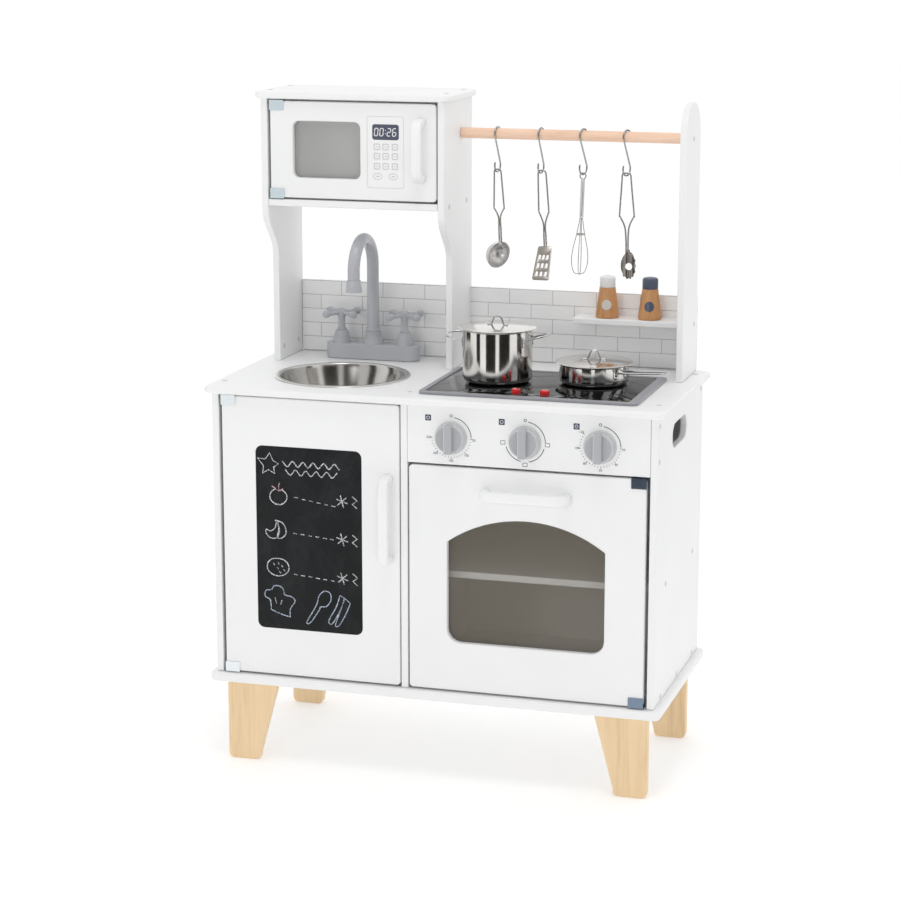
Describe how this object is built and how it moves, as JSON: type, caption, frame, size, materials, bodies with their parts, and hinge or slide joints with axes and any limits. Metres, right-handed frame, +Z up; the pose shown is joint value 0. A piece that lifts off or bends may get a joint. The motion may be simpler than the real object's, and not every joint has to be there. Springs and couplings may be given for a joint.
{
  "type": "toy kitchen",
  "caption": "Painted play kitchen on tapered birch legs: hinged oven, cupboard and microwave doors, sink with tap, hob with dials, hanging rail with tools, pot, pan and shakers.",
  "frame": {"origin": "on the floor, under the middle of the object's box", "axes": "+Z up, -Y the front with the doors and dials, +X to the right seen from the front"},
  "size_m": [0.6, 0.3122, 0.862],
  "materials": {
    "white_board": "satin white painted fibreboard with softly rounded edges",
    "birch": "pale birch, clear satin",
    "beech_rail": "beech dowel, clear satin",
    "white_handle": "satin white",
    "hinge_chrome": "bright plated pressed steel",
    "clear_pane": "clear acrylic sheet",
    "knob_grey": "satin grey with a paler rim",
    "hob_tray": "grey rim round a glossy black top with faint rings",
    "button_red": "glossy red",
    "tap_grey": "smooth mid-grey",
    "steel": "polished stainless steel",
    "hook_chrome": "bright plated wire",
    "turned_wood": "orange-brown turned wood with a painted cap and badge"
  },
  "bodies": {
    "kitchen": {"leg_front_left": "birch", "leg_front_right": "birch", "leg_rear_left": "birch", "leg_rear_right": "birch", "plinth_board": "white_board", "side_panel_left": "white_board", "side_panel_right": "white_board", "centre_divider": "white_board", "cabinet_back": "white_board", "oven_shelf": "white_board", "control_panel": "white_board", "worktop": "white_board", "tower_panel_left": "white_board", "tower_panel_right": "white_board", "tower_top": "white_board", "microwave_floor": "white_board", "microwave_back": "white_board", "backsplash": "white_board", "rail_post": "white_board", "hanging_rail": "beech_rail", "spice_shelf": "white_board", "hob": "hob_tray", "tap_block": "tap_grey"},
    "cabinet_door": {"cabinet_door": "white_board", "cabinet_handle": "white_handle", "cabinet_hinge_top": "hinge_chrome", "cabinet_hinge_bottom": "hinge_chrome"},
    "oven_door": {"oven_door": "white_board", "oven_window": "clear_pane", "oven_handle": "white_handle", "oven_hinge_top": "hinge_chrome", "oven_hinge_bottom": "hinge_chrome"},
    "microwave_door": {"microwave_door": "white_board", "microwave_window": "clear_pane", "microwave_handle": "white_handle", "microwave_hinge_top": "hinge_chrome", "microwave_hinge_bottom": "hinge_chrome"},
    "knob_left": {"knob_left": "knob_grey"},
    "knob_middle": {"knob_middle": "knob_grey"},
    "knob_right": {"knob_right": "knob_grey"},
    "hob_button_left": {"hob_button_left": "button_red"},
    "hob_button_right": {"hob_button_right": "button_red"},
    "sink_basin": {"sink_basin": "steel"},
    "tap_spout": {"tap_spout": "tap_grey"},
    "tap_cross_left": {"tap_cross_left": "tap_grey"},
    "tap_cross_right": {"tap_cross_right": "tap_grey"},
    "stock_pot": {"stock_pot": "steel"},
    "stock_pot_lid": {"stock_pot_lid": "steel"},
    "frying_pan": {"frying_pan": "steel"},
    "frying_pan_lid": {"frying_pan_lid": "steel"},
    "hook_1": {"hook_1": "hook_chrome"},
    "hook_2": {"hook_2": "hook_chrome"},
    "hook_3": {"hook_3": "hook_chrome"},
    "hook_4": {"hook_4": "hook_chrome"},
    "ladle": {"ladle": "steel"},
    "slotted_turner": {"slotted_turner": "steel"},
    "whisk": {"whisk": "steel"},
    "pasta_server": {"pasta_server": "steel"},
    "salt_shaker": {"salt_shaker": "turned_wood"},
    "pepper_shaker": {"pepper_shaker": "turned_wood"}
  },
  "joints": [
    {"name": "cabinet_door_swing", "type": "hinge", "parent": "kitchen", "child": "cabinet_door", "pos_m": [-0.272, -0.12635, 0.306], "axis": [0, 0, -1], "range_deg": [0, 110]},
    {"name": "oven_door_swing", "type": "hinge", "parent": "kitchen", "child": "oven_door", "pos_m": [0.2715, -0.12635, 0.269], "axis": [0, 0, 1], "range_deg": [0, 110]},
    {"name": "microwave_door_swing", "type": "hinge", "parent": "kitchen", "child": "microwave_door", "pos_m": [-0.26, 0.03115, 0.787], "axis": [0, 0, -1], "range_deg": [0, 110]},
    {"name": "knob_left_turn", "type": "hinge", "parent": "kitchen", "child": "knob_left", "pos_m": [0.0285, -0.13085, 0.452], "axis": [0, 1, 0], "range_deg": [0, 270]},
    {"name": "knob_middle_turn", "type": "hinge", "parent": "kitchen", "child": "knob_middle", "pos_m": [0.1235, -0.13085, 0.452], "axis": [0, 1, 0], "range_deg": [0, 270]},
    {"name": "knob_right_turn", "type": "hinge", "parent": "kitchen", "child": "knob_right", "pos_m": [0.2185, -0.13085, 0.452], "axis": [0, 1, 0], "range_deg": [0, 270]},
    {"name": "hob_button_left_press", "type": "slide", "parent": "kitchen", "child": "hob_button_left", "axis": [0, 0, -1], "range_m": [0, 0.003], "stiffness_N_per_m": 150, "springref_m": -0.001},
    {"name": "hob_button_right_press", "type": "slide", "parent": "kitchen", "child": "hob_button_right", "axis": [0, 0, -1], "range_m": [0, 0.003], "stiffness_N_per_m": 150, "springref_m": -0.001},
    {"name": "sink_lift", "type": "slide", "parent": "kitchen", "child": "sink_basin", "axis": [0, 0, 1], "range_m": [0, 0.05]},
    {"name": "tap_spout_swivel", "type": "hinge", "parent": "kitchen", "child": "tap_spout", "pos_m": [-0.1545, 0.11365, 0.5383], "axis": [0, 0, 1], "range_deg": [-60, 60]},
    {"name": "tap_cross_left_turn", "type": "hinge", "parent": "kitchen", "child": "tap_cross_left", "pos_m": [-0.1992, 0.11365, 0.5383], "axis": [0, 0, 1], "range_deg": [-90, 90]},
    {"name": "tap_cross_right_turn", "type": "hinge", "parent": "kitchen", "child": "tap_cross_right", "pos_m": [-0.1098, 0.11365, 0.5383], "axis": [0, 0, 1], "range_deg": [-90, 90]},
    {"name": "stock_pot_lift", "type": "slide", "parent": "kitchen", "child": "stock_pot", "axis": [0, 0, 1], "range_m": [0, 0.15]},
    {"name": "stock_pot_lid_lift", "type": "slide", "parent": "stock_pot", "child": "stock_pot_lid", "axis": [0, 0, 1], "range_m": [0, 0.1]},
    {"name": "frying_pan_lift", "type": "slide", "parent": "kitchen", "child": "frying_pan", "axis": [0, 0, 1], "range_m": [0, 0.15]},
    {"name": "frying_pan_lid_lift", "type": "slide", "parent": "frying_pan", "child": "frying_pan_lid", "axis": [0, 0, 1], "range_m": [0, 0.1]},
    {"name": "hook_1_swing", "type": "hinge", "parent": "kitchen", "child": "hook_1", "pos_m": [0.021, 0.10465, 0.808], "axis": [1, 0, 0], "range_deg": [-25, 25]},
    {"name": "hook_2_swing", "type": "hinge", "parent": "kitchen", "child": "hook_2", "pos_m": [0.0794, 0.10465, 0.808], "axis": [1, 0, 0], "range_deg": [-25, 25]},
    {"name": "hook_3_swing", "type": "hinge", "parent": "kitchen", "child": "hook_3", "pos_m": [0.1358, 0.10465, 0.808], "axis": [1, 0, 0], "range_deg": [-25, 25]},
    {"name": "hook_4_swing", "type": "hinge", "parent": "kitchen", "child": "hook_4", "pos_m": [0.1932, 0.10465, 0.808], "axis": [1, 0, 0], "range_deg": [-25, 25]},
    {"name": "ladle_swing", "type": "hinge", "parent": "hook_1", "child": "ladle", "pos_m": [0.021, 0.10465, 0.759], "axis": [0, 1, 0], "range_deg": [-10, 10]},
    {"name": "slotted_turner_swing", "type": "hinge", "parent": "hook_2", "child": "slotted_turner", "pos_m": [0.0794, 0.10465, 0.759], "axis": [0, 1, 0], "range_deg": [-10, 10]},
    {"name": "whisk_swing", "type": "hinge", "parent": "hook_3", "child": "whisk", "pos_m": [0.1358, 0.10465, 0.759], "axis": [0, 1, 0], "range_deg": [-10, 10]},
    {"name": "pasta_server_swing", "type": "hinge", "parent": "hook_4", "child": "pasta_server", "pos_m": [0.1932, 0.10465, 0.759], "axis": [0, 1, 0], "range_deg": [-10, 10]},
    {"name": "salt_shaker_lift", "type": "slide", "parent": "kitchen", "child": "salt_shaker", "axis": [0, 0, 1], "range_m": [0, 0.04]},
    {"name": "pepper_shaker_lift", "type": "slide", "parent": "kitchen", "child": "pepper_shaker", "axis": [0, 0, 1], "range_m": [0, 0.04]}
  ]
}
